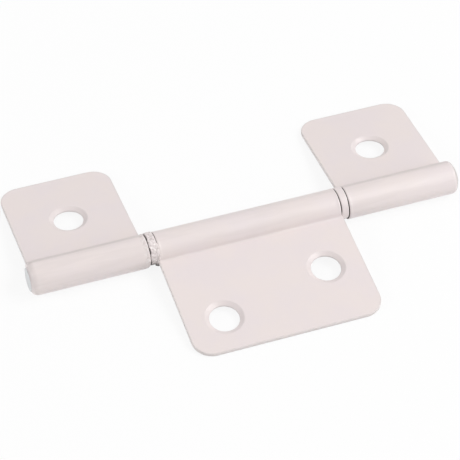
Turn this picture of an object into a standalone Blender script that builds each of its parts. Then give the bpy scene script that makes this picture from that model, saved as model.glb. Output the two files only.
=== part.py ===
# Three-leaf flush hinge in painted sheet steel, lying open on a flat surface.
# Two short outer leaves point to +Y and one wide middle leaf points to -Y. All three are rolled round one pin
# that runs along X. Each leaf is centred on the pin, so that the folded hinge is one sheet thick.
# Z = 0 is the surface that the hinge lies on, and the pin's axis is above X = 0, Y = 0.

import bpy
import bmesh
from math import acos, asin, atan2, ceil, copysign, cos, hypot, pi, radians, sin, sqrt
from mathutils import Vector

mm = 0.001

# Leaves
hinge_length = 76.2 * mm          # over the outboard edges of the two outer leaves
outer_leaf_length = 20.0 * mm     # along the pin
joint_room = 1.35 * mm            # between each outer leaf and the middle leaf, for a washer
outer_leaf_reach = 23.6 * mm      # from the pin's axis to the free edge
middle_leaf_reach = 23.6 * mm
sheet_thickness = 0.7 * mm
corner_radius = 3.5 * mm          # the two outer corners of each leaf, seen from above
edge_break = 0.10 * mm            # rounding that blanking and paint leave on each sheared edge

# Rolled knuckles
bend_radius = 0.45 * mm           # inside radius where the sheet leaves the leaf for the barrel
seam_gap = 0.12 * mm              # left between the rolled end and the leaf
knuckle_setback = 0.25 * mm       # middle knuckle's ends, inside the ends of its leaf
knuckle_overrun = 0.33 * mm       # right knuckle's outboard end, past the edge of its leaf
mouth_wall = 0.08 * mm            # wall left where the knuckle's outboard end closes in behind the head
swage_fade = radians(30)          # turn round the pin over which that rounding starts, beside the leaf

# Pin and washers
pin_diameter = 4.4 * mm
running_clearance = 0.04 * mm     # between the pin and the knuckles, all round
head_overhang = 0.1 * mm          # of the riveted head at each end, past the pin
head_height = 0.7 * mm
head_edge_radius = 0.5 * mm
head_gap = 0.10 * mm              # end play under each head
washer_play = 0.2 * mm            # on each side of the washer
washer_wall = 0.64 * mm
washer_clearance = 0.06 * mm      # on the pin, all round
washer_edge_radius = 0.12 * mm

# Countersunk screw holes
screw_hole_diameter = 5.15 * mm
countersink_angle = radians(120)
countersink_land = 0.24 * mm      # straight wall left under the cone
outer_hole_reach = 12.5 * mm      # from the pin's axis
outer_hole_inset = 9.95 * mm      # from the leaf's outboard end
middle_far_hole_reach = 17.0 * mm
middle_far_hole_inset = 6.9 * mm  # from the middle leaf's left end
middle_near_hole_reach = 12.2 * mm
middle_near_hole_inset = 6.65 * mm  # from its right end

# Facets
arc_step = radians(5)
corner_steps = 8
edge_steps = 2
swage_steps = 5
hole_steps = 48
pin_steps = 72
rounding_steps = 5
smooth_angle = radians(20)        # edges that turn more than this stay sharp

tolerance = 0.005 * mm            # for picking edges and faces by their place

# Worked out from the sizes above
pin_radius = pin_diameter / 2
bore_radius = pin_radius + running_clearance
barrel_radius = bore_radius + sheet_thickness
half_sheet = sheet_thickness / 2
swage_radius = sheet_thickness - mouth_wall
middle_leaf_length = hinge_length - 2 * (outer_leaf_length + joint_room)
washer_room = joint_room + knuckle_setback                    # from the middle knuckle to an outer one
washer_thickness = washer_room - 2 * washer_play
washer_x = middle_leaf_length / 2 - knuckle_setback + washer_room / 2
outer_leaf_x = hinge_length / 2 - outer_leaf_length / 2
middle_x = -knuckle_overrun / 2                               # keeps the box round the part centred
pin_end = (hinge_length + knuckle_overrun) / 2 + head_gap
axis_height = barrel_radius
bend_line = bend_radius + half_sheet                          # height of the bend's centre over the axis
centre_distance = bore_radius + half_sheet + bend_line        # from the pin's axis to the bend's centre
wrap_start = asin(bend_line / centre_distance)                # where the bend ends and the barrel begins
clear_of_bend = bend_radius + sheet_thickness + seam_gap      # from the bend's centre to the rolled end
wrap_turn = 2 * pi - acos((barrel_radius ** 2 + centre_distance ** 2 - clear_of_bend ** 2)
                          / (2 * barrel_radius * centre_distance))


def clear_scene():
    for old in list(bpy.data.objects):
        bpy.data.objects.remove(old, do_unlink=True)


def paint(name, colour, roughness):
    """Off-white powder coat on steel."""
    mat = bpy.data.materials.new(name)
    mat.use_nodes = True
    shader = mat.node_tree.nodes["Principled BSDF"]
    shader.inputs["Base Color"].default_value = (*colour, 1.0)
    shader.inputs["Roughness"].default_value = roughness
    shader.inputs["Metallic"].default_value = 0.0
    mat.diffuse_color = (*colour, 1.0)
    return mat


def shade(mesh):
    mesh.shade_smooth()
    mesh.set_sharp_from_angle(angle=smooth_angle)


def add_object(name, bm, mat, location=(0, 0, 0)):
    """Make a smooth-shaded object of a bmesh."""
    bmesh.ops.recalc_face_normals(bm, faces=bm.faces)
    mesh = bpy.data.meshes.new(name)
    bm.to_mesh(mesh)
    bm.free()
    shade(mesh)
    if mat is not None:
        mesh.materials.append(mat)
    obj = bpy.data.objects.new(name, mesh)
    obj.location = location
    bpy.context.scene.collection.objects.link(obj)
    return obj


def arc(centre, radius, start, end):
    """Points of an arc in the (y, z) plane, both ends included."""
    steps = max(2, ceil(abs(end - start) / arc_step))
    angles = [start + (end - start) * i / steps for i in range(steps + 1)]
    return [(centre[0] + radius * cos(a), centre[1] + radius * sin(a)) for a in angles]


def rolled_section(reach):
    """Section of a leaf and its knuckle round the pin's axis, leaf towards +Y, as pairs of (y, z) points.

    Each pair crosses the sheet, from the face that ends outside the knuckle to the face that ends inside it.
    The flat sheet lies on the axis. It bends up through bend_radius, then goes over the pin and round under
    it until its end nearly meets the leaf again.
    """
    bend_centre = (centre_distance * cos(wrap_start), bend_line)
    wrap_end = wrap_start + wrap_turn
    toward_pin = pi + wrap_start

    outer_face = [(reach, half_sheet)]
    outer_face += arc(bend_centre, bend_radius, 1.5 * pi, toward_pin)
    outer_face += arc((0, 0), barrel_radius, wrap_start, wrap_end)[1:]
    inner_face = [(reach, -half_sheet)]
    inner_face += arc(bend_centre, bend_radius + sheet_thickness, 1.5 * pi, toward_pin)
    inner_face += arc((0, 0), bore_radius, wrap_start, wrap_end)[1:]
    return list(zip(outer_face, inner_face))


def bend_share(y, z):
    """How far round the bend a point of the section lies, from 0 on the flat leaf to 1 on the knuckle."""
    across, up = y - centre_distance * cos(wrap_start), z - bend_line
    if across > 0:
        return 0
    if hypot(across, up) > bend_radius + sheet_thickness + tolerance:
        return 1
    return min(1, atan2(-across, -up) / (pi / 2 - wrap_start))


def near(value, target):
    return abs(value - target) < tolerance


def bevel(bm, edges, offset, steps):
    bmesh.ops.bevel(bm, geom=edges, offset=offset, offset_type='OFFSET', segments=steps, profile=0.5,
                    affect='EDGES', clamp_overlap=False)


def swage(bm, end_x):
    """Round the knuckle's outer edge in at end_x to a quarter circle, which fades out beside the leaf."""
    side = 1 if end_x > 0 else -1
    stations = [swage_radius * (1 - sin(pi / 2 * step / swage_steps)) for step in range(swage_steps)]
    for depth in stations:
        if depth > edge_break:
            outside = [face for face in bm.faces
                       if all(near(hypot(v.co.y, v.co.z), barrel_radius) for v in face.verts)]
            around = {item for face in outside for item in (*face.verts, *face.edges)}
            bmesh.ops.bisect_plane(bm, geom=outside + list(around), dist=1e-8,
                                   plane_co=(end_x - side * depth, 0, 0), plane_no=(1, 0, 0))
    for vert in bm.verts:
        depth = max(0, side * (end_x - vert.co.x))
        turn = (atan2(vert.co.z, vert.co.y) - wrap_start) % (2 * pi)
        if turn < wrap_turn + radians(0.1) and depth < swage_radius:
            drop = swage_radius - sqrt(swage_radius ** 2 - (swage_radius - depth) ** 2)
            wall_kept = 1 - drop / sheet_thickness * min(1, turn / swage_fade)
            radius = hypot(vert.co.y, vert.co.z)
            vert.co.yz = vert.co.yz * (bore_radius + (radius - bore_radius) * wall_kept) / radius


def set_back(bm, setbacks):
    """Shorten the knuckle at its (-X, +X) ends, or lengthen it where a setback is negative.

    The shoulder that this makes runs through the bend.
    """
    for vert in bm.verts:
        inward = copysign(bend_share(vert.co.y, vert.co.z), -vert.co.x)
        vert.co.x += inward * setbacks[vert.co.x > 0]


def rolled_leaf(length, reach, swaged_end, setbacks):
    """Sheet with its knuckle rolled. swaged_end is -1 or 1 for the end that is closed in, 0 for none."""
    bm = bmesh.new()
    rows = [[bm.verts.new((-length / 2, y, z)) for y, z in pair] for pair in rolled_section(reach)]
    strip = [bm.faces.new((*row, *reversed(following))) for row, following in zip(rows, rows[1:])]
    extruded = bmesh.ops.extrude_face_region(bm, geom=strip)
    moved = [item for item in extruded["geom"] if isinstance(item, bmesh.types.BMVert)]
    bmesh.ops.translate(bm, verts=moved, vec=(length, 0, 0))
    bmesh.ops.recalc_face_normals(bm, faces=bm.faces)

    corners = [edge for edge in bm.edges
               if all(near(v.co.y, reach) for v in edge.verts)
               and near(edge.verts[0].co.x, edge.verts[1].co.x)]
    bevel(bm, corners, corner_radius, corner_steps)
    sheared = [edge for edge in bm.edges
               if edge.calc_face_angle(0) > radians(60)
               and not all(near(hypot(v.co.y, v.co.z), bore_radius) for v in edge.verts)]
    bevel(bm, sheared, edge_break, edge_steps)
    set_back(bm, setbacks)
    if swaged_end:
        swage(bm, swaged_end * (length / 2 - setbacks[swaged_end > 0]))
    return bm


def turned(profile, steps, axis, closed=False):
    """Solid of revolution. profile holds (along, radius) points; a closed one makes a ring."""
    bm = bmesh.new()
    across = Vector((0, 0, 1)) if axis.x else Vector((1, 0, 0))
    verts = [bm.verts.new(axis * along + across * radius) for along, radius in profile]
    pairs = list(zip(verts, verts[1:] + verts[:1])) if closed else list(zip(verts, verts[1:]))
    edges = [bm.edges.new(pair) for pair in pairs]
    bmesh.ops.spin(bm, geom=verts + edges, cent=(0, 0, 0), axis=axis, angle=2 * pi, steps=steps,
                   use_merge=True, use_duplicate=False)
    bmesh.ops.remove_doubles(bm, verts=bm.verts, dist=1e-7)
    return bm


def rounded(along, radius, edge, start, end):
    """Points of a small rounded edge in a turned profile, centred at (along, radius)."""
    angles = [start + (end - start) * i / rounding_steps for i in range(rounding_steps + 1)]
    return [(along + edge * cos(a), radius + edge * sin(a)) for a in angles]


def screw_hole():
    """Cutter for one countersunk hole, cone opening to +Z, through a sheet centred on Z = 0."""
    hole_radius = screw_hole_diameter / 2
    over = sheet_thickness
    cone_start = countersink_land - half_sheet
    slope = sin(countersink_angle / 2) / cos(countersink_angle / 2)
    cone_end = half_sheet + over
    profile = [(-half_sheet - over, 0), (-half_sheet - over, hole_radius), (cone_start, hole_radius),
               (cone_end, hole_radius + (cone_end - cone_start) * slope), (cone_end, 0)]
    return turned(profile, hole_steps, Vector((0, 0, 1)))


def resting_droop(reach):
    """Angle below level at which a leaf's free edge touches the surface that its barrel lies on."""
    return asin(barrel_radius / hypot(reach, half_sheet)) - atan2(half_sheet, reach)


def cut_screw_hole(leaf, x, reach):
    """Cut one countersunk hole at (x, reach) in the leaf's own frame."""
    cutter = add_object("screw_hole_cutter", screw_hole(), None, (x, reach, 0))
    cut = leaf.modifiers.new("screw_hole", 'BOOLEAN')
    cut.operation = 'DIFFERENCE'
    cut.solver = 'EXACT'
    cut.object = cutter
    blank = leaf.data
    leaf.data = bpy.data.meshes.new_from_object(leaf.evaluated_get(bpy.context.evaluated_depsgraph_get()))
    leaf.data.name = leaf.name
    leaf.modifiers.remove(cut)
    bpy.data.meshes.remove(blank)
    bpy.data.objects.remove(cutter)


def add_leaf(name, mat, length, reach, centre_x, facing, swaged_end, setbacks, holes):
    """facing is 1 for a leaf towards +Y and -1 towards -Y. holes are (x from the leaf's middle, reach)."""
    leaf = add_object(name, rolled_leaf(length, reach, swaged_end * facing, setbacks), mat)
    for hole_x, hole_reach in holes:
        cut_screw_hole(leaf, hole_x * facing, hole_reach)
    shade(leaf.data)
    leaf.location = (centre_x, 0, axis_height)
    leaf.rotation_euler = (-resting_droop(reach), 0, 0 if facing > 0 else pi)
    return leaf


def add_pin(mat):
    """Pin with a low riveted head at each end; its origin is at the middle of its axis."""
    head_radius = pin_radius + head_overhang
    crown = pin_end + head_height
    half = [(pin_end, pin_radius), (pin_end, head_radius)]
    half += rounded(crown - head_edge_radius, head_radius - head_edge_radius, head_edge_radius, pi / 2, 0)
    half += [(crown, 0)]
    other = [(-along, radius) for along, radius in reversed(half)]
    pin = turned(other + half, pin_steps, Vector((1, 0, 0)))
    return add_object("hinge_pin", pin, mat, (0, 0, axis_height))


def add_washer(name, mat, centre_x):
    """Plain spacing washer with rounded outer edges."""
    inner = pin_radius + washer_clearance
    outer = inner + washer_wall
    side = washer_thickness / 2
    profile = [(-side, inner)]
    profile += rounded(-side + washer_edge_radius, outer - washer_edge_radius, washer_edge_radius, pi, pi / 2)
    profile += rounded(side - washer_edge_radius, outer - washer_edge_radius, washer_edge_radius, pi / 2, 0)
    profile += [(side, inner)]
    ring = turned(profile, pin_steps, Vector((1, 0, 0)), closed=True)
    return add_object(name, ring, mat, (centre_x, 0, axis_height))


def build():
    clear_scene()
    white = (0.815, 0.735, 0.720)
    outer_hole_x = outer_leaf_length / 2 - outer_hole_inset     # outboard of the leaf's middle
    far_hole_x = middle_far_hole_inset - middle_leaf_length / 2
    near_hole_x = middle_leaf_length / 2 - middle_near_hole_inset
    add_leaf("left_leaf", paint("left_leaf_paint", white, 0.42), outer_leaf_length, outer_leaf_reach,
             middle_x - outer_leaf_x, 1, -1, (0, 0), [(-outer_hole_x, outer_hole_reach)])
    add_leaf("right_leaf", paint("right_leaf_paint", white, 0.42), outer_leaf_length, outer_leaf_reach,
             middle_x + outer_leaf_x, 1, 1, (0, -knuckle_overrun), [(outer_hole_x, outer_hole_reach)])
    add_leaf("middle_leaf", paint("middle_leaf_paint", white, 0.42), middle_leaf_length, middle_leaf_reach,
             middle_x, -1, 0, (knuckle_setback, knuckle_setback),
             [(far_hole_x, middle_far_hole_reach), (near_hole_x, middle_near_hole_reach)])
    add_pin(paint("hinge_pin_paint", white, 0.45))
    add_washer("left_washer", paint("left_washer_paint", white, 0.5), middle_x - washer_x)
    add_washer("right_washer", paint("right_washer_paint", white, 0.5), middle_x + washer_x)


build()
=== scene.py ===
import bmesh
import bpy
from math import acos, asin, atan2, cos, hypot, pi, radians, sin, sqrt, tan
from mathutils import Euler, Matrix, Vector, noise


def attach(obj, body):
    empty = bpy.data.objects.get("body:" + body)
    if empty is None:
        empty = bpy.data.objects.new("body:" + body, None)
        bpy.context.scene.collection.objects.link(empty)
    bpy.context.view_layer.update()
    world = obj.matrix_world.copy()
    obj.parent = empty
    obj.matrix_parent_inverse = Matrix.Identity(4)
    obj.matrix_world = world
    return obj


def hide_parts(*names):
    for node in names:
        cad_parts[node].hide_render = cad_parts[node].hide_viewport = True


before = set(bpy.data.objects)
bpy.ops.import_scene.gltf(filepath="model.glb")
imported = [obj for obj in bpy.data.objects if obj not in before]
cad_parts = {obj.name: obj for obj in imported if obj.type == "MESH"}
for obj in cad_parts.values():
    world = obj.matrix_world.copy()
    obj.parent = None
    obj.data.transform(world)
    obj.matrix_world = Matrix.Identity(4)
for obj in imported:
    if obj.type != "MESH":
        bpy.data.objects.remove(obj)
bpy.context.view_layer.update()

mm = 0.001

# sizes that every leaf shares
sheet = {
    "thickness": 0.7 * mm,
    "bendRadius": 0.45 * mm,      # inside, where the leaf turns up into its barrel
    "seamGap": 0.12 * mm,         # rolled end to leaf
    "boreRadius": 2.24 * mm,
    "cornerRadius": 3.5 * mm,
    "edgeRound": 0.13 * mm,       # sheared edge under its paint
    "edgeSegments": 3,
    "edgeAngle": 1.05,            # radians, past which an edge counts as sheared
    "cornerSegments": 14,
    "bendSteps": 14,
    "wrapSteps": 120,
    "reach": 23.6 * mm,
    "smoothAngle": radians(32),
    "normalWeight": 80,
}
half = sheet["thickness"] / 2
barrelRadius = sheet["boreRadius"] + sheet["thickness"]
bendLine = sheet["bendRadius"] + half
centreDistance = sheet["boreRadius"] + half + bendLine
wrapStart = asin(bendLine / centreDistance)
clearOfBend = sheet["bendRadius"] + sheet["thickness"] + sheet["seamGap"]
wrapTurn = 2 * pi - acos((barrelRadius ** 2 + centreDistance ** 2 - clearOfBend ** 2)
                         / (2 * barrelRadius * centreDistance))
pastSeam = wrapTurn + 0.002                       # radians, just past the rolled end
root = centreDistance * cos(wrapStart)            # where the flat leaf ends and its bend begins
axisHeight = barrelRadius
droop = asin(barrelRadius / hypot(sheet["reach"], half)) - atan2(half, sheet["reach"])
middleX = -0.165 * mm                             # the middle leaf's centre
hair = 0.01 * mm                                  # allowance when places are compared

# outboard ends close in on the pin
mouthSpec = {
    "drop": 0.66 * mm, "steps": 9, "fade": radians(30),
    "pastRound": 1.05,            # nearest ring to the end, in edge rounds
}

# paint along a barrel's inboard end: a low ridge, grains, and a corner knocked in
beadSpec = {
    "width": 0.60 * mm, "height": 0.035 * mm, "steps": 6, "uneven": 0.7, "raggedScale": 900,
    "clear": (-2.6 * mm, -1.2 * mm),              # from the pin's axis, none below and all above
    "liftFrom": 0.4 * mm,                         # past the bore, where the ridge begins to lift
    "bentRoom": 0.4 * mm, "bentRings": (0.13 * mm, 0.26 * mm),
    "bentAt": 222, "bentFade": (12, 48),          # degrees: where, and how far from it full and gone
    "bentSkin": (2.3 * mm, 2.9 * mm),             # radius, none below and all above
    "grain": 0.45 * mm, "grainsTo": 0.3 * mm,     # depth from the end at which they begin to fade
}

# each leaf in its own frame: facing is -1 for the leaf turned about, mouth the side of the closed end,
# ends how far the barrel stops short of the leaf at -X and +X, beads the inboard ends, holes (x, reach)
leftLeafSpec = {
    "name": "leftLeafShown", "node": "left_leaf",
    "length": 20.0 * mm, "x": middleX - 28.1 * mm, "facing": 1,
    "mouth": -1, "mouthDepth": 1.05 * mm, "ends": (-0.41 * mm, 0), "beads": (1,),
    "crumbs": 0.11 * mm, "bentIn": 0.20 * mm, "holes": [(-0.05 * mm, 12.5 * mm)], "seed": 1.0,
}
rightLeafSpec = {
    "name": "rightLeafShown", "node": "right_leaf",
    "length": 20.0 * mm, "x": middleX + 28.1 * mm, "facing": 1,
    "mouth": 1, "mouthDepth": 0.72 * mm, "ends": (0, -0.55 * mm), "beads": (-1,),
    "crumbs": 0, "bentIn": 0, "holes": [(0.05 * mm, 12.5 * mm)], "seed": 2.0,
}
middleLeafSpec = {
    "name": "middleLeafShown", "node": "middle_leaf",
    "length": 33.5 * mm, "x": middleX, "facing": -1,
    "mouth": 0, "ends": (0.25 * mm, 0.25 * mm), "beads": (-1, 1),
    "crumbs": 0, "bentIn": 0, "holes": [(9.85 * mm, 17.0 * mm), (-10.10 * mm, 12.2 * mm)], "seed": 3.0,
}
holeSpec = {
    "radius": 2.575 * mm, "land": 0.24 * mm, "halfCone": radians(60),
    "rimRound": 0.45 * mm, "lipRound": 0.10 * mm, "backRound": 0.08 * mm, "backFlare": 1.6,
    "roundSteps": 5, "segments": 96,
}


# selecting and small tools
def deselectAll():
    if bpy.context.object and bpy.context.object.mode != 'OBJECT':
        bpy.ops.object.mode_set(mode='OBJECT')
    bpy.ops.object.select_all(action='DESELECT')


def pick(kind, test):
    piece = bpy.context.object
    bpy.ops.mesh.select_mode(type=kind)
    bpy.ops.mesh.select_all(action='DESELECT')
    mesh = bmesh.from_edit_mesh(piece.data)
    for item in {'VERT': mesh.verts, 'EDGE': mesh.edges, 'FACE': mesh.faces}[kind]:
        if test(item):
            item.select_set(True)
    mesh.select_flush_mode()
    bmesh.update_edit_mesh(piece.data)


def moveEach(where):               # every vertex of the piece in edit mode goes where the function says
    piece = bpy.context.object
    mesh = bmesh.from_edit_mesh(piece.data)
    for v in mesh.verts:
        v.co = where(v.co.copy())
    bmesh.update_edit_mesh(piece.data)


def faceOutwards():
    bpy.ops.mesh.select_all(action='SELECT')
    bpy.ops.mesh.normals_make_consistent(inside=False)


def near(a, b, limit=0.004 * mm):
    return abs(a - b) < limit


def span(point):                   # distance from the pin's axis
    return hypot(point.y, point.z)


def turnOf(point):                 # angle round the pin from the start of the wrap
    return (atan2(point.z, point.y) - wrapStart) % (2 * pi)


def bearingOf(point):              # degrees round the pin, from +Y over the top
    return (atan2(point.z, point.y) * 180 / pi) % 360


def smooth(low, high, value):
    share = min(1, max(0, (value - low) / (high - low)))
    return share * share * (3 - 2 * share)


def applyModifier(piece, kind, **values):
    modifier = piece.modifiers.new(kind.title(), kind)
    for key, value in values.items():
        setattr(modifier, key, value)
    bpy.context.view_layer.objects.active = piece
    bpy.ops.object.modifier_apply(modifier=modifier.name)


def settle(piece, location, turn=(0, 0, 0)):      # place a piece, then put its place into its mesh
    deselectAll()
    piece.select_set(True)
    bpy.context.view_layer.objects.active = piece
    piece.location = location
    piece.rotation_euler = turn
    bpy.ops.object.transform_apply(location=True, rotation=True, scale=True)


def startPlane(name, centre, wide, deep, turn=(0, 0, 0)):      # a plane of a set size, in edit mode
    deselectAll()
    bpy.ops.mesh.primitive_plane_add(size=1, location=centre, rotation=turn)
    piece = bpy.context.object
    piece.name = piece.data.name = name
    piece.scale = (wide, deep, 1)
    bpy.ops.object.transform_apply(location=True, rotation=True, scale=True)
    bpy.ops.object.mode_set(mode='EDIT')
    return piece


def hand(piece, node, body):       # the piece stands for its CAD node and moves with its body
    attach(piece, body)
    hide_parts(node)


# the leaves
def bendShare(point):              # 0 on the flat leaf, 1 on the barrel
    across, up = point.y - root, point.z - bendLine
    if across > 0:
        return 0
    if hypot(across, up) > sheet["bendRadius"] + sheet["thickness"] + hair / 2:
        return 1
    return min(1, atan2(-across, -up) / (pi / 2 - wrapStart))


def ringsAlong(endX, side, depths):               # rings of vertices round the barrel at depths from one end
    for depth in depths:
        pick('FACE', lambda f: all(near(span(v.co), barrelRadius) for v in f.verts))
        bpy.ops.mesh.bisect(plane_co=(endX - side * depth, 0, 0), plane_no=(1, 0, 0), threshold=1e-7)


def closeMouth(endX, side, deep):                 # outer edge of the outboard end closes in on the pin
    steps, bore = mouthSpec["steps"], sheet["boreRadius"]
    depths = [deep * (1 - sin(pi / 2 * i / steps)) for i in range(steps)]
    ringsAlong(endX, side, [d for d in depths if d > sheet["edgeRound"] * mouthSpec["pastRound"]])

    def closed(place):
        depth, turn, radius = max(0, side * (endX - place.x)), turnOf(place), span(place)
        if depth < deep and turn < pastSeam and radius > bore:
            curve = 1 - sqrt(1 - (1 - depth / deep) ** 2)
            lost = mouthSpec["drop"] * curve / sheet["thickness"] * min(1, turn / mouthSpec["fade"])
            place.yz = place.yz * (bore + (radius - bore) * (1 - lost)) / radius
        return place
    moveEach(closed)


def crumbs(place, size, seed):                    # rounded grains of paint side by side, 0 between them
    grains = noise.voronoi(Vector(place) / size + Vector((seed * 7, seed * 3, seed)))[0]
    patchy = 0.75 + 0.5 * noise.noise(Vector(place) / size * 0.4)
    return max(0, 1 - grains[0] * 1.25) ** 0.7 * patchy


def layBead(endX, side, leaf):                    # paint that drew back from an inboard end
    spec, facing, edge = beadSpec, leaf["facing"], sheet["edgeRound"]
    wide, steps = spec["width"], spec["steps"]
    bent = wide + spec["bentRoom"]
    rings = [edge + (wide - edge) * (i + 1) / steps for i in range(steps)]
    if leaf["bentIn"]:
        rings = rings + [wide + more for more in spec["bentRings"]] + [bent]
    ringsAlong(endX, side, rings)

    def ridged(place):
        depth, radius, bearing = side * (endX - place.x), span(place), bearingOf(place)
        if depth < wide and radius > sheet["boreRadius"] + spec["liftFrom"] and turnOf(place) < pastSeam:
            fine = spec["raggedScale"]
            ragged = noise.noise(Vector((leaf["seed"] * 9, place.y * fine * facing, place.z * fine)))
            clearFloor = smooth(*spec["clear"], place.z)
            share = sin(pi * (0.15 + 0.85 * max(0, depth) / wide)) ** 2
            grain = leaf["crumbs"] * crumbs(place, spec["grain"], leaf["seed"])
            grain = grain * (1 - smooth(spec["grainsTo"], wide, depth))
            ridge = spec["height"] * (1 + spec["uneven"] * ragged) * share
            place.yz = place.yz * (1 + (ridge + grain) * clearFloor / radius)
        if depth < bent:                          # the end's corner knocked in, low at the front
            low = 1 - smooth(*spec["bentFade"], abs(bearing - spec["bentAt"]))
            inwards = leaf["bentIn"] * low * (1 - max(0, depth) / bent) ** 2
            place.yz = place.yz * (1 - inwards * smooth(*spec["bentSkin"], radius) / radius)
        return place
    moveEach(ridged)


def holeProfile():                                # (height, radius) up a hole, its rims rounded by paint
    s, over = holeSpec, sheet["thickness"]
    radius, cone, back, lip = s["radius"], s["halfCone"], s["backRound"], s["lipRound"]
    shares = [i / s["roundSteps"] for i in range(s["roundSteps"] + 1)]
    quarter = [pi / 2 * i for i in shares]
    coneStart, lean = s["land"] - half, pi / 2 - cone      # lean: the cone's slope over the leaf
    lipZ = coneStart - lip * tan(cone / 2)
    rim = s["rimRound"]
    rimR = radius + (half - coneStart) * tan(cone) + rim * tan(lean / 2)
    rings = [(-half - over, radius + back * s["backFlare"])]
    rings += [(-half + back * (1 - cos(a)) - 0.001 * mm, radius + back * (1 - sin(a))) for a in quarter]
    rings += [(lipZ + lip * sin(cone * i), radius + lip * (1 - cos(cone * i))) for i in shares]
    rings += [(half - rim + rim * sin(cone + lean * i), rimR - rim * cos(cone + lean * i)) for i in shares]
    return rings + [(half + over, rings[-1][1])]


def cutterFor(hole):
    rings = holeProfile()
    deselectAll()
    bpy.ops.mesh.primitive_circle_add(vertices=holeSpec["segments"], radius=rings[0][1], fill_type='NGON',
                                      location=(hole[0], hole[1], rings[0][0]))
    cutter = bpy.context.object
    bpy.ops.object.mode_set(mode='EDIT')
    bpy.ops.mesh.select_all(action='SELECT')
    for (z0, r0), (z1, r1) in zip(rings, rings[1:]):
        bpy.ops.mesh.extrude_region_move(TRANSFORM_OT_translate={"value": (0, 0, z1 - z0)})
        bpy.ops.transform.resize(value=(r1 / r0, r1 / r0, 1), center_override=(hole[0], hole[1], z1))
    faceOutwards()
    bpy.ops.object.mode_set(mode='OBJECT')
    return cutter


def makeLeaf(leaf):
    length, facing, reach = leaf["length"], leaf["facing"], sheet["reach"]
    shortAt = {-1: leaf["ends"][0], 1: leaf["ends"][1]}
    piece = startPlane(leaf["name"], (0, (root + reach) / 2, 0), length, reach - root)
    pick('VERT', lambda v: near(v.co.y, reach))
    bpy.ops.mesh.bevel(offset=sheet["cornerRadius"], segments=sheet["cornerSegments"],
                       affect='VERTICES', profile=0.5)
    pick('VERT', lambda v: near(v.co.y, root))
    bpy.ops.mesh.spin(steps=sheet["bendSteps"], angle=pi / 2 - wrapStart,
                      center=(0, root, bendLine), axis=(1, 0, 0))
    bpy.ops.mesh.spin(steps=sheet["wrapSteps"], angle=-wrapTurn, center=(0, 0, 0), axis=(1, 0, 0))
    faceOutwards()
    bpy.ops.object.mode_set(mode='OBJECT')
    applyModifier(piece, 'SOLIDIFY', thickness=sheet["thickness"], offset=0, use_even_offset=True)

    bpy.ops.object.mode_set(mode='EDIT')
    faceOutwards()
    pick('EDGE', lambda e: e.calc_face_angle(0) > sheet["edgeAngle"]
         and not all(near(span(v.co), sheet["boreRadius"], 2 * hair) for v in e.verts))
    bpy.ops.mesh.bevel(offset=sheet["edgeRound"], segments=sheet["edgeSegments"],
                       profile=0.5, clamp_overlap=False)
    bpy.ops.object.mode_set(mode='OBJECT')
    for hole in leaf["holes"]:                    # cut before the barrel's ends move
        cutter = cutterFor(hole)
        applyModifier(piece, 'BOOLEAN', operation='DIFFERENCE', solver='EXACT', object=cutter)
        bpy.data.objects.remove(cutter)
    deselectAll()
    piece.select_set(True)
    bpy.context.view_layer.objects.active = piece
    bpy.ops.object.mode_set(mode='EDIT')

    def stepped(place):                           # the barrel's ends move, and the step runs through the bend
        side = 1 if place.x > 0 else -1
        place.x -= side * shortAt[side] * bendShare(place)
        return place
    moveEach(stepped)
    for side in leaf["beads"]:
        side = side * facing
        layBead(side * (length / 2 - shortAt[side]), side, leaf)
    if leaf["mouth"]:
        closeMouth(leaf["mouth"] * (length / 2 - shortAt[leaf["mouth"]]), leaf["mouth"], leaf["mouthDepth"])
    bpy.ops.object.mode_set(mode='OBJECT')
    settle(piece, (leaf["x"], 0, axisHeight), (-droop, 0, 0 if facing > 0 else pi))
    bpy.ops.object.shade_smooth_by_angle(angle=sheet["smoothAngle"])
    applyModifier(piece, 'WEIGHTED_NORMAL', keep_sharp=True, weight=sheet["normalWeight"])
    hand(piece, leaf["node"], leaf["node"])
    return piece


leftLeaf = makeLeaf(leftLeafSpec)
rightLeaf = makeLeaf(rightLeafSpec)
middleLeaf = makeLeaf(middleLeafSpec)
print("leaves rolled, pierced and rounded")

# the pin: each end's barrel stops at lip, where paint fills the joint, and the pin goes on to its own end
pinSpec = {
    "radius": 2.2 * mm, "plainTo": 38 * mm, "segments": 144, "roundSteps": 7,
    "filled": 2.34 * mm, "fillWide": 0.22 * mm, "fillBack": (0.1 * mm, 0.02 * mm),
    "fillShares": (0.0, 0.25, 0.5, 0.75),
    "insets": (0.05, 0.12, 0.22, 0.30),           # rings across the end face, each a share of its flat
    "dent": 0.03 * mm, "dentRough": 0.03 * mm, "dentRadius": 1.9 * mm, "dentFade": 0.7 * mm,
    "dentScale": 800,
    "ends": {-1: {"lip": 38.675 * mm, "end": 39.015 * mm, "radius": 2.12 * mm, "round": 0.22 * mm},
             1: {"lip": 38.485 * mm, "end": 38.710 * mm, "radius": 2.14 * mm, "round": 0.10 * mm}},
}


def pinProfile(tip):                              # (distance along the pin, radius) up to the end face
    spec, lip, edge, radius = pinSpec, tip["lip"], tip["round"], tip["radius"]
    back, front = spec["fillBack"]
    profile = [(spec["plainTo"], spec["radius"]), (lip - back, spec["radius"]), (lip - front, spec["filled"])]
    profile += [(lip + spec["fillWide"] * share, radius + (spec["filled"] - radius) * (1 - share) ** 2)
                for share in spec["fillShares"]]
    profile = [(x, r) for x, r in profile if x < tip["end"] - edge - hair / 2]
    angles = [pi / 2 * i / spec["roundSteps"] for i in range(spec["roundSteps"] + 1)]
    return profile + [(tip["end"] - edge + edge * sin(a), radius - edge + edge * cos(a)) for a in angles]


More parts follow.
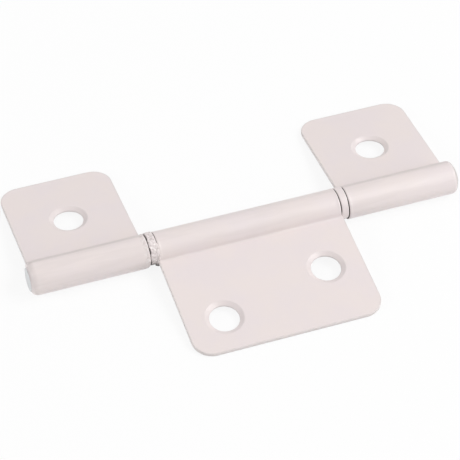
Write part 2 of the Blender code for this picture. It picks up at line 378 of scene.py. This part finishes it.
def makePin():
    spec = pinSpec
    deselectAll()
    bpy.ops.mesh.primitive_cylinder_add(vertices=spec["segments"], radius=spec["radius"],
                                        depth=2 * spec["plainTo"], location=(0, 0, axisHeight),
                                        rotation=(0, pi / 2, 0))
    piece = bpy.context.object
    piece.name = piece.data.name = "hingePinShown"
    bpy.ops.object.transform_apply(location=True, rotation=True, scale=True)
    bpy.ops.object.mode_set(mode='EDIT')
    for side, tip in spec["ends"].items():
        profile = pinProfile(tip)
        pick('FACE', lambda f: near(f.calc_center_median().x, side * spec["plainTo"])
             and abs(f.normal.x) > 0.9)
        for (x0, r0), (x1, r1) in zip(profile, profile[1:]):
            bpy.ops.mesh.extrude_region_move(TRANSFORM_OT_translate={"value": (side * (x1 - x0), 0, 0)})
            bpy.ops.transform.resize(value=(1, r1 / r0, r1 / r0), center_override=(side * x1, 0, axisHeight))
        for inset in spec["insets"]:
            bpy.ops.mesh.inset(thickness=(tip["radius"] - tip["round"]) * inset)
    faceOutwards()

    def dented(place):                            # the pin's ends aren't quite flat
        side = 1 if place.x > 0 else -1
        if abs(place.x) > spec["ends"][side]["end"] - hair:
            fine = spec["dentScale"]
            bumpy = noise.noise(Vector((side * 40, place.y * fine, place.z * fine)))
            inside = smooth(0, spec["dentFade"], spec["dentRadius"] - hypot(place.y, place.z - axisHeight))
            place.x -= (spec["dent"] + spec["dentRough"] * bumpy) * side * inside
        return place
    moveEach(dented)
    bpy.ops.object.mode_set(mode='OBJECT')
    bpy.ops.object.shade_smooth_by_angle(angle=sheet["smoothAngle"])
    hand(piece, "hinge_pin", "middle_leaf")
    return piece


# the washers: crust is paint that piled up on them, lean is how it sits to one side, dent a corner
# knocked in; closingLeft and closingRight narrow the gaps beside them, as (bearing in degrees, mm)
leftWasherSpec = {
    "name": "leftWasherShown", "node": "left_washer", "x": middleX - 17.3 * mm, "outer": 2.87 * mm,
    "crust": 0.19 * mm, "crustFrom": 30, "crustTo": 205, "lean": 0.15 * mm, "leanTo": 41,
    "dent": 0.15 * mm, "dentAt": 224, "seed": 5.0,
    "closingLeft": [(0, 0.06), (50, 0.0), (62, -0.06), (88, -0.04), (99, 0.10), (121, 0.10), (129, -0.02),
                    (143, -0.02), (151, 0.12), (173, 0.12), (181, 0.0), (225, 0.0), (360, 0.06)],
    "closingRight": [(0, 0.1), (60, 0.1), (100, 0.14), (125, 0.16), (360, 0.1)],
}
rightWasherSpec = {
    "name": "rightWasherShown", "node": "right_washer", "x": middleX + 17.3 * mm, "outer": 2.90 * mm,
    "crust": 0.14 * mm, "crustFrom": 20, "crustTo": 62, "lean": 0.0, "leanTo": 0,
    "dent": 0.16 * mm, "dentAt": 222, "seed": 6.0,
    "closingLeft": [(0, 0.19), (54, 0.19), (68, 0.06), (120, 0.06), (135, 0.03), (160, 0.03), (172, 0.15),
                    (360, 0.19)],
    "closingRight": [(0, 0.17), (58, 0.17), (68, 0.09), (122, 0.09), (135, 0.05), (160, 0.05),
                     (360, 0.03)],
}
washerShape = {
    "thickness": 1.2 * mm, "inner": 2.26 * mm, "round": 0.16 * mm, "roundSteps": 4,
    "segments": 240, "cuts": 11, "sideCuts": 4, "longEdge": 0.4 * mm, "weld": 0.002 * mm,
    "crumb": 0.46 * mm, "fade": 14, "dentFade": (8, 42),      # fades in degrees
    "skin": (2.45 * mm, 2.75 * mm), "closeWide": 0.3 * mm, "smoothAngle": radians(50),
}


def along(pairs, angle):                          # value between listed angles
    for (a0, v0), (a1, v1) in zip(pairs, pairs[1:]):
        if a0 <= angle <= a1:
            return v0 + (v1 - v0) * smooth(a0, a1, angle)
    return 0


def makeWasher(spec):
    shape, outer = washerShape, spec["outer"]
    wide, long = shape["thickness"] / 2, shape["longEdge"]
    piece = startPlane(spec["name"], (0, 0, (shape["inner"] + outer) / 2), shape["thickness"],
                       outer - shape["inner"], (pi / 2, 0, 0))
    pick('VERT', lambda v: near(v.co.z, outer))
    bpy.ops.mesh.bevel(offset=shape["round"], segments=shape["roundSteps"], affect='VERTICES', profile=0.5)
    bpy.ops.mesh.select_all(action='SELECT')
    bpy.ops.mesh.delete(type='ONLY_FACE')
    pick('EDGE', lambda e: e.calc_length() > long and all(v.co.z > outer - hair for v in e.verts))
    bpy.ops.mesh.subdivide(number_cuts=shape["cuts"])
    pick('EDGE', lambda e: e.calc_length() > long and abs(e.verts[0].co.x - e.verts[1].co.x) < hair)
    bpy.ops.mesh.subdivide(number_cuts=shape["sideCuts"])
    bpy.ops.mesh.select_all(action='SELECT')
    bpy.ops.mesh.spin(steps=shape["segments"], angle=2 * pi, center=(0, 0, 0), axis=(1, 0, 0),
                      use_auto_merge=True)
    bpy.ops.mesh.select_all(action='SELECT')
    bpy.ops.mesh.remove_doubles(threshold=shape["weld"])
    faceOutwards()

    def crusted(place):
        radius, angle = span(place), atan2(place.z, place.y)
        bearing, fade = bearingOf(place), shape["fade"]
        skin = smooth(*shape["skin"], radius)
        share = smooth(spec["crustFrom"] - fade, spec["crustFrom"], bearing) \
            * (1 - smooth(spec["crustTo"], spec["crustTo"] + fade, bearing))
        lump = crumbs(place, shape["crumb"], spec["seed"]) * spec["crust"] * share
        knocked = spec["dent"] * (1 - smooth(*shape["dentFade"], abs(bearing - spec["dentAt"])))
        shift = spec["lean"] * cos(angle - radians(spec["leanTo"])) - knocked
        place.yz = place.yz * (1 + (lump + shift) * skin / radius)
        for side, closing in ((-1, spec["closingLeft"]), (1, spec["closingRight"])):
            nearSide = 1 - smooth(0, shape["closeWide"], wide - side * place.x)
            uneven = 1 + 0.3 * noise.noise(Vector((spec["seed"] + side, cos(angle) * 6, sin(angle) * 6)))
            place.x += side * along(closing, bearing) * mm * uneven * skin * nearSide
        return place
    moveEach(crusted)
    bpy.ops.object.mode_set(mode='OBJECT')
    settle(piece, (spec["x"], 0, axisHeight))
    bpy.ops.object.shade_smooth_by_angle(angle=shape["smoothAngle"])
    hand(piece, spec["node"], "middle_leaf")
    return piece


# paint that bridges the left washer and the middle barrel, from near the top round the front to below
bridgeSpec = {
    "from": middleX - 17.08 * mm, "to": middleX - 16.12 * mm,
    "start": 112, "end": 218,                     # bearings in degrees
    "cuts": 15, "steps": 110, "base": 2.85 * mm, "depth": 0.25 * mm, "fade": 9,
    "rise": 0.09 * mm, "crust": 0.18 * mm, "crumb": 0.46 * mm, "seed": 8.0, "smoothAngle": radians(60),
}


def makeBridge():
    spec = bridgeSpec
    start, width = radians(spec["start"]), spec["to"] - spec["from"]
    piece = startPlane("paintBridge", (spec["from"] + width / 2, 0, 0), width, 0.1 * mm)
    pick('VERT', lambda v: v.co.y < 0)
    bpy.ops.mesh.delete(type='VERT')
    bpy.ops.mesh.select_all(action='SELECT')
    bpy.ops.mesh.subdivide(number_cuts=spec["cuts"])
    moveEach(lambda place: Vector((place.x, spec["base"] * cos(start), spec["base"] * sin(start))))
    bpy.ops.mesh.select_all(action='SELECT')
    bpy.ops.mesh.spin(steps=spec["steps"], angle=-radians(spec["end"] - spec["start"]),
                      center=(0, 0, 0), axis=(1, 0, 0))

    def lumpy(place):
        bearing, share, fade = bearingOf(place), (place.x - spec["from"]) / width, spec["fade"]
        ends = smooth(spec["start"], spec["start"] + fade, bearing) \
            * (1 - smooth(spec["end"] - fade, spec["end"], bearing))
        ragged = 0.5 + 0.5 * noise.noise(Vector((spec["seed"], bearing * 0.09, 0)))
        sides = smooth(0, 0.22, share) * (1 - smooth(0.50 + 0.25 * ragged, 0.80 + 0.2 * ragged, share))
        lump = spec["rise"] + spec["crust"] * crumbs(place, spec["crumb"], spec["seed"])
        place.yz = place.yz * (spec["base"] + lump * ends * sides) / span(place)
        return place
    moveEach(lumpy)
    faceOutwards()
    bpy.ops.object.mode_set(mode='OBJECT')
    applyModifier(piece, 'SOLIDIFY', thickness=spec["depth"], offset=-1)
    settle(piece, (0, 0, axisHeight))
    bpy.ops.object.shade_smooth_by_angle(angle=spec["smoothAngle"])
    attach(piece, "middle_leaf")
    return piece


pin = makePin()
leftWasher = makeWasher(leftWasherSpec)
rightWasher = makeWasher(rightWasherSpec)
paintBridge = makeBridge()
print("pin turned, washers crusted, bridge of paint laid")


# shader maths: a Signal is one socket, a Finish is one material's tree
class Signal:
    def __init__(self, finish, socket):
        self.finish, self.socket = finish, socket

    def math(self, operation, *values):
        return self.finish.node('ShaderNodeMath', {"operation": operation}, dict(enumerate(values)))

    def other(self, index):                        # another output of the same node
        return Signal(self.finish, self.socket.node.outputs[index])

    def __add__(self, other):
        return self.math('ADD', self, other)

    def __sub__(self, other):
        return self.math('SUBTRACT', self, other)

    def __rsub__(self, other):
        return self.math('SUBTRACT', other, self)

    def __mul__(self, other):
        return self.math('MULTIPLY', self, other)

    def __abs__(self):
        return self.math('ABSOLUTE', self)

    __radd__ = __add__
    __rmul__ = __mul__


class Finish:
    def __init__(self, name):
        self.material = bpy.data.materials.new(name)
        self.material.use_nodes = True
        self.tree = self.material.node_tree
        self.tree.nodes.clear()

    def node(self, kind, settings=None, inputs=None, output=0):
        made = self.tree.nodes.new(kind)
        for key, value in (settings or {}).items():
            setattr(made, key, value)
        for key, value in (inputs or {}).items():
            if isinstance(value, Signal):
                self.tree.links.new(value.socket, made.inputs[key])
            else:
                made.inputs[key].default_value = value
        return Signal(self, made.outputs[output]) if len(made.outputs) else made

    def mix(self, share, a, b):                    # colours
        return self.node('ShaderNodeMix', {"data_type": 'RGBA'}, {0: share, 6: a, 7: b}, 2)

    def ramp(self, value, low, high):              # 0 below low, 1 above high, smooth between
        return self.node('ShaderNodeMapRange', {"interpolation_type": 'SMOOTHSTEP'},
                         {0: value, 1: low, 2: high, 3: 0.0, 4: 1.0})

    def noise(self, where, scale, detail=3.0, rough=0.5, warp=0.0):
        return self.node('ShaderNodeTexNoise', {}, {"Vector": where, "Scale": scale, "Detail": detail,
                                                    "Roughness": rough, "Distortion": warp})

    def vector(self, operation, a, b=(0, 0, 0), output=0):
        return self.node('ShaderNodeVectorMath', {"operation": operation}, {0: a, 1: b}, output)

    def distance(self, where, centre, keep=(1, 1, 1)):
        apart = self.vector('MULTIPLY', self.vector('SUBTRACT', where, centre), keep)
        return self.vector('LENGTH', apart, output=1)

    def placed(self, move=(0, 0, 0), turn=(0, 0, 0), stretch=(1, 1, 1), where=None):      # in millimetres
        if where is None:
            metres = self.node('ShaderNodeTexCoord', output=3)
            where = self.vector('MULTIPLY', metres, (1 / mm, 1 / mm, 1 / mm))
        return self.node('ShaderNodeMapping', {}, {0: where, 1: move, 2: turn, 3: stretch})


# lengths and scales of the finish are in millimetres
paintLook = {
    "warm": (0.837, 0.753, 0.735, 1),
    "cool": (0.823, 0.743, 0.743, 1),
    "thin": (0.62, 0.60, 0.585, 1),                # paint drawn thin over a sharp edge, and painted shade on the edge's side faces
    "paintedShade": (0.47, 0.41, 0.385, 1),               # painted shade, in the fold by a barrel and in hollows between grains of paint
    "rim": (0.50, 0.48, 0.46, 1),                  # painted shade round the right end
    "paintedHighlight": (0.92, 0.87, 0.86, 1),               # painted highlight on the tops of the grains of paint
    "cone": (0.770, 0.700, 0.690, 1),              # sides of the screw holes
    "steel": (0.055, 0.050, 0.048, 1),             # painted shade, near black, on faces in the gaps, in the bores and low on the crusted paint by the left washer
    "cutSteel": (0.72, 0.735, 0.745, 1),           # the left end of the pin
    "streak": (0.775, 0.700, 0.682, 1),            # duller paint in the streaks along a barrel
    "roughness": 0.33, "roughSpread": 0.14, "roughScale": 0.42,
    "cloudScale": 0.13,
    "peelHeight": 0.010, "peelScale": 1.1,
    "grainHeight": 0.0015, "grainScale": 7.0,
    "streakHeight": 0.042, "streakScale": 0.9, "streakShare": 0.40,
    "lumpHeight": 0.02, "lumpScale": 2.6,
    "ior": 1.5,
}


class Paint(Finish):                               # off-white powder coat, to which pieces add their marks
    def __init__(self, name, seed, move=(0, 0, 0), turn=(0, 0, 0)):
        super().__init__(name)
        look = paintLook
        self.where = self.placed(move, turn)
        x = self.node('ShaderNodeSeparateXYZ', {}, {0: self.where})
        self.x, self.y, self.z = x, x.other(1), x.other(2)
        self.around = self.distance(self.where, (0, 0, 0), (0, 1, 1))
        self.grained = self.placed((seed * 37, seed * 61, seed * 23), where=self.where)
        cloud = self.noise(self.grained, look["cloudScale"], 4, 0.55)
        self.colour = self.mix(self.ramp(cloud, 0.35, 0.65), look["warm"], look["cool"])
        self.height = self.noise(self.grained, look["peelScale"], 2, 0.45) * look["peelHeight"] \
            + self.noise(self.grained, look["grainScale"], 2, 0.5) * look["grainHeight"]
        self.rough = self.noise(self.grained, look["roughScale"], 3) * look["roughSpread"] \
            + (look["roughness"] - look["roughSpread"] / 2)

    def mark(self, share, colour, roughness=None):
        self.colour = self.mix(share, self.colour, colour)
        if roughness:
            self.rough = self.rough * (1 - share) + share * roughness

    def patches(self, scale, low, high):           # 1 in scattered patches, 0 between them
        return self.ramp(self.noise(self.grained, scale, 2, 0.5), low, high)

    def lumps(self):                               # relief of paint that dried in lumps
        look = paintLook
        lumpy = self.noise(self.grained, look["lumpScale"], 3, 0.55, 0.5)
        self.height = self.height + lumpy * look["lumpHeight"]

    def nearEnd(self, along, end, depths):         # 0 deeper than the first depth, 1 nearer than the second
        return self.ramp(along, end - depths[0], end - depths[1])

    def done(self, piece):
        bump = self.node('ShaderNodeBump', {}, {"Strength": 1.0, "Distance": mm, "Height": self.height})
        shader = self.node('ShaderNodeBsdfPrincipled', {}, {
            "Base Color": self.colour, "Roughness": self.rough, "Normal": bump, "IOR": paintLook["ior"]})
        self.node('ShaderNodeOutputMaterial', {}, {0: shader})
        piece.data.materials.clear()
        piece.data.materials.append(self.material)


# where marks on a leaf begin and end, in mm
leafMarks = {
    "barrel": (3.0, 3.35),                         # from the pin's axis, barrel below and leaf above
    "bore": (2.26, 2.32), "endFace": (2.80, 2.88),      # from the pin's axis
    "border": (0.04, 0.34),                        # from the leaf's border
    "cone": (3.25, 3.55), "lip": (2.58, 2.72),     # from a hole's centre
    "foldUp": (0.20, 0.30), "foldOut": (3.90, 4.30),      # above the sheet's middle, out from the pin
    "riseIn": (radians(24), radians(46)), "riseOut": (radians(71), radians(79)),      # up the barrel's back
    "endDepth": (0.06, 0.02), "grainDepth": (1.15, 0.45),      # from the barrel's end
    "rimDepth": (0.55, 0.15), "mouthDepth": (0.9, 0.6),
    "streaks": (0.46, 0.62), "streakStretch": 0.10,
    "brokenScale": 1.6, "creaseScale": 0.5,
    "farBack": 20.0,                               # so that the side at the barrel is no border
}
# where patches of painted shade and painted highlight fall on grains of paint
grainMarks = {                                     # noise scale, then where a patch begins and is full
    "hollowOnLeaf": (2.1, 0.50, 0.62), "hollow": (2.1, 0.48, 0.60), "top": (2.9, 0.54, 0.66),
    "under": (2.5, 3.1),                           # how low a place is, in mm
}


def leafPaint(leaf):                               # reads places in the leaf's own frame
    turn = Euler((-droop, 0, 0 if leaf["facing"] > 0 else pi))
    toLeaf = (Matrix.Translation((leaf["x"], 0, axisHeight)) @ turn.to_matrix().to_4x4()).inverted()
    return Paint(leaf["name"].replace("Shown", "Paint"), leaf["seed"],
                 [v / mm for v in toLeaf.translation], toLeaf.to_euler())


def insetOf(f, leaf):                              # distance from the leaf's border, rounded at its corners
    corner, farBack, reach = sheet["cornerRadius"] / mm, leafMarks["farBack"], sheet["reach"] / mm
    middle = (0, (reach - farBack) / 2, 0)
    box = (leaf["length"] / 2 / mm - corner, (reach + farBack) / 2 - corner, 0)
    away = f.vector('ABSOLUTE', f.vector('SUBTRACT', f.where, middle))
    past = f.vector('MAXIMUM', f.vector('SUBTRACT', away, box), (0, 0, 0))
    return corner - f.distance(past, (0, 0, 0), (1, 1, 0))


def paintLeaf(piece, leaf, creaseShade):                # the last argument: how strongly painted shade marks the fold by the barrel
    f, look, at = leafPaint(leaf), paintLook, leafMarks
    halfLength = leaf["length"] / 2 / mm
    inset = insetOf(f, leaf)
    onBarrel = 1 - f.ramp(f.around, *at["barrel"])
    broken = f.noise(f.grained, at["brokenScale"], 3)
    # the border greyer: paint drawn thin over the edge, and painted shade on the side faces
    border = (1 - f.ramp(inset, *at["border"])) * (1 - onBarrel)
    f.mark(border * (broken * 0.5 + 0.15), look["thin"])
    for hx, hy in leaf["holes"]:
        away = f.distance(f.where, (hx / mm, hy / mm, 0), (1, 1, 0))
        f.mark((1 - f.ramp(away, *at["cone"])) * 0.25, look["cone"])
        # the hole's lip greyer: paint drawn thin over it, and painted shade
        f.mark((1 - f.ramp(away, *at["lip"])) * (broken * 0.5 + 0.05), look["thin"])
    if creaseShade:
        # painted shade up the barrel's back and in the fold where the leaf meets it
        upper, fold = f.ramp(f.z, *at["foldUp"]), 1 - f.ramp(f.y, *at["foldOut"])
        rise = f.z.math('ARCTAN2', f.z, f.y)
        back = (1 - f.ramp(rise, *at["riseOut"])) * f.ramp(rise, *at["riseIn"])
        uneven = f.noise(f.grained, at["creaseScale"], 2) * 0.6 + 0.7
        f.mark(uneven * (back * onBarrel + upper * fold * (1 - onBarrel) * 0.5) * creaseShade, look["paintedShade"])
    drawnOut = f.placed(stretch=(at["streakStretch"], 1, 1), where=f.grained)
    streaks = f.noise(drawnOut, look["streakScale"], 3, 0.5, 0.3)
    f.height = f.height + streaks * onBarrel * look["streakHeight"]
    f.mark(f.ramp(streaks, *at["streaks"]) * onBarrel * look["streakShare"], look["streak"])
    for side in leaf["beads"]:                     # painted shade, near black, on the end faces beside a washer
        side = side * leaf["facing"]
        end = halfLength - leaf["ends"][side > 0] / mm
        atEnd = f.nearEnd(f.x * side, end, at["endDepth"]) * (1 - f.ramp(f.around, *at["endFace"]))
        f.mark(atEnd, look["steel"], 0.6)
        if leaf["crumbs"]:                         # patches of painted shade and painted highlight on the grains of paint by the left washer
            rough = f.nearEnd(f.x * side, end, at["grainDepth"]) * onBarrel
            f.mark(f.patches(*grainMarks["hollowOnLeaf"]) * rough * 0.35, look["paintedShade"])
            f.mark(f.patches(*grainMarks["top"]) * rough * 0.8, look["paintedHighlight"])
    mouth = leaf["mouth"]
    tip = halfLength - leaf["ends"][mouth > 0] / mm
    if mouth > 0:
        # painted shade round the right end
        f.mark(f.nearEnd(f.x, tip, at["rimDepth"]) * onBarrel * 0.8, look["rim"], 0.6)
    inMouth = f.nearEnd(f.x * mouth, tip, at["mouthDepth"])      # painted shade in the bore, short of a closed end
    f.mark((1 - f.ramp(f.around, *at["bore"])) * (1 - inMouth), look["steel"], 0.5)
    f.done(piece)


# along the pin in mm: painted shade on the shank, which shows only in the gaps, and on the right end, the
# left end bare metal
pinMarks = {"shank": (38.20, 38.26), "rightEnd": (38.40, 38.50), "leftEnd": (38.90, 38.95), "wornScale": 1.3}


def paintPin():
    f, look, at = Paint("pinPaint", 4.0, (0, 0, -axisHeight / mm)), paintLook, pinMarks
    # painted shade on the shank, which shows only in the gaps
    f.mark(1 - f.ramp(abs(f.x), *at["shank"]), look["steel"], 0.5)
    # painted shade on the right end
    f.mark(f.ramp(f.x, *at["rightEnd"]) * 0.8, look["rim"], 0.6)
    worn = f.noise(f.grained, at["wornScale"], 3) * 0.4 + 0.75
    f.mark(f.ramp(f.x * -1, *at["leftEnd"]) * worn, look["cutSteel"], 0.45)
    f.done(pin)


def crumbled(f):                                   # patches of painted shade and painted highlight on grains of paint, and painted shade low down
    look = paintLook
    f.mark(f.patches(*grainMarks["hollow"]) * 0.50, look["paintedShade"])
    f.mark(f.patches(*grainMarks["top"]) * 0.8, look["paintedHighlight"])
    below = f.z * -1 + f.y * -0.45 + f.noise(f.grained, 1.2, 2) * 1.6
    f.mark(f.ramp(below, *grainMarks["under"]) * 0.8, look["steel"], 0.6)


washerMarks = {"face": (0.575, 0.595), "faceRing": (2.66, 2.76), "bore": (2.30, 2.40)}      # where painted shade lies on the faces in the gaps and in the bore, in mm


def paintWasher(piece, spec, grainy):
    f = Paint(spec["name"].replace("Shown", "Paint"), spec["seed"], (-spec["x"] / mm, 0, -axisHeight / mm))
    look, at = paintLook, washerMarks
    f.lumps()
    # painted shade on the side faces in the gaps and in the bore
    onFace = f.ramp(abs(f.x), *at["face"]) * (1 - f.ramp(f.around, *at["faceRing"]))
    f.mark(onFace, look["steel"], 0.6)
    f.mark(1 - f.ramp(f.around, *at["bore"]), look["steel"], 0.6)
    if grainy:
        crumbled(f)
    f.done(piece)


def paintBridgeOver():
    f = Paint("bridgePaint", bridgeSpec["seed"], (0, 0, -axisHeight / mm))
    f.lumps()
    crumbled(f)
    f.done(paintBridge)


paintLeaf(leftLeaf, leftLeafSpec, 0.32)
paintLeaf(rightLeaf, rightLeafSpec, 0.30)
paintLeaf(middleLeaf, middleLeafSpec, 0.0)
paintPin()
paintWasher(leftWasher, leftWasherSpec, True)
paintWasher(rightWasher, rightWasherSpec, False)
paintBridgeOver()
print("paint mixed")

# the photograph's view, and a plain room
cameraSpec = {
    "location": (-0.0887049, -0.2251239, 0.2577461), "turn": (43.391112, -1.210830, -19.536781),
    "lens": 159.98465, "sensor": 36, "clip": (0.01, 20),
}
lightSpec = {
    "world": 0.30, "away": 0.8, "size": 0.4,
    "boxes": {                                     # bearing and height in degrees, watts
        "rightHighBox": (100, 48, 2.15), "leftBox": (270, 25, 2.12), "rightFrontBox": (135, 25, 1.45),
        "frontHighBox": (130, 48, 1.31), "rightBackBox": (45, 25, 0.53), "backHighBox": (0, 58, 0.32),
        "backBox": (0, 25, 0.26),
    },
}
floorSpec = {
    "radius": 3, "segments": 64,
    "lit": (0.88, 0.88, 0.88, 1),                  # what it sends back to the hinge
    "shadow": (0.10, 0.10, 0.10, 1), "glow": 0.89,      # what is seen of it: its shadows, on white
}


def setCamera():
    deselectAll()
    bpy.ops.object.camera_add(location=cameraSpec["location"],
                              rotation=[radians(a) for a in cameraSpec["turn"]])
    camera = bpy.context.object
    camera.data.lens, camera.data.sensor_width = cameraSpec["lens"], cameraSpec["sensor"]
    camera.data.clip_start, camera.data.clip_end = cameraSpec["clip"]
    bpy.context.scene.camera = camera


def addSoftbox(name, bearing, height, watts):
    deselectAll()
    a, e = radians(bearing), radians(height)
    toLamp = Vector((sin(a) * cos(e), cos(a) * cos(e), sin(e)))
    bpy.ops.object.light_add(type='AREA', location=toLamp * lightSpec["away"],
                             rotation=(-toLamp).to_track_quat('-Z', 'Y').to_euler())
    lamp = bpy.context.object
    lamp.name, lamp.data.energy = name, watts
    lamp.data.size, lamp.data.shape = lightSpec["size"], 'DISK'


def setRoom():
    spec = floorSpec
    deselectAll()
    bpy.ops.mesh.primitive_circle_add(vertices=spec["segments"], radius=spec["radius"], fill_type='NGON',
                                      location=(0, 0, 0))
    floor = bpy.context.object
    floor.name = "studioFloor"
    f = Finish("floorWhite")
    seen = f.node('ShaderNodeLightPath', output=0)
    for output in (3, 6):                          # glossy and transmission rays see it too
        seen = seen.math('MAXIMUM', seen, f.node('ShaderNodeLightPath', output=output))
    lit = f.node('ShaderNodeBsdfDiffuse', {}, {"Color": spec["lit"]})
    thin = f.node('ShaderNodeBsdfDiffuse', {}, {"Color": spec["shadow"]})
    glow = f.node('ShaderNodeEmission', {}, {"Color": (1, 1, 1, 1), "Strength": spec["glow"]})
    shown = f.node('ShaderNodeAddShader', {}, {0: thin, 1: glow})
    either = f.node('ShaderNodeMixShader', {}, {0: seen, 1: lit, 2: shown})
    f.node('ShaderNodeOutputMaterial', {}, {0: either})
    floor.data.materials.clear()
    floor.data.materials.append(f.material)
    world = bpy.data.worlds.new("studioAir")
    bpy.context.scene.world = world
    world.use_nodes = True
    air = world.node_tree.nodes["Background"]
    air.inputs[0].default_value = (1, 1, 1, 1)
    air.inputs[1].default_value = lightSpec["world"]


setCamera()
setRoom()
for name, box in lightSpec["boxes"].items():
    addSoftbox(name, *box)
bpy.context.scene.view_settings.view_transform = 'Standard'
print("camera, lights and floor placed")

bpy.context.view_layer.update()
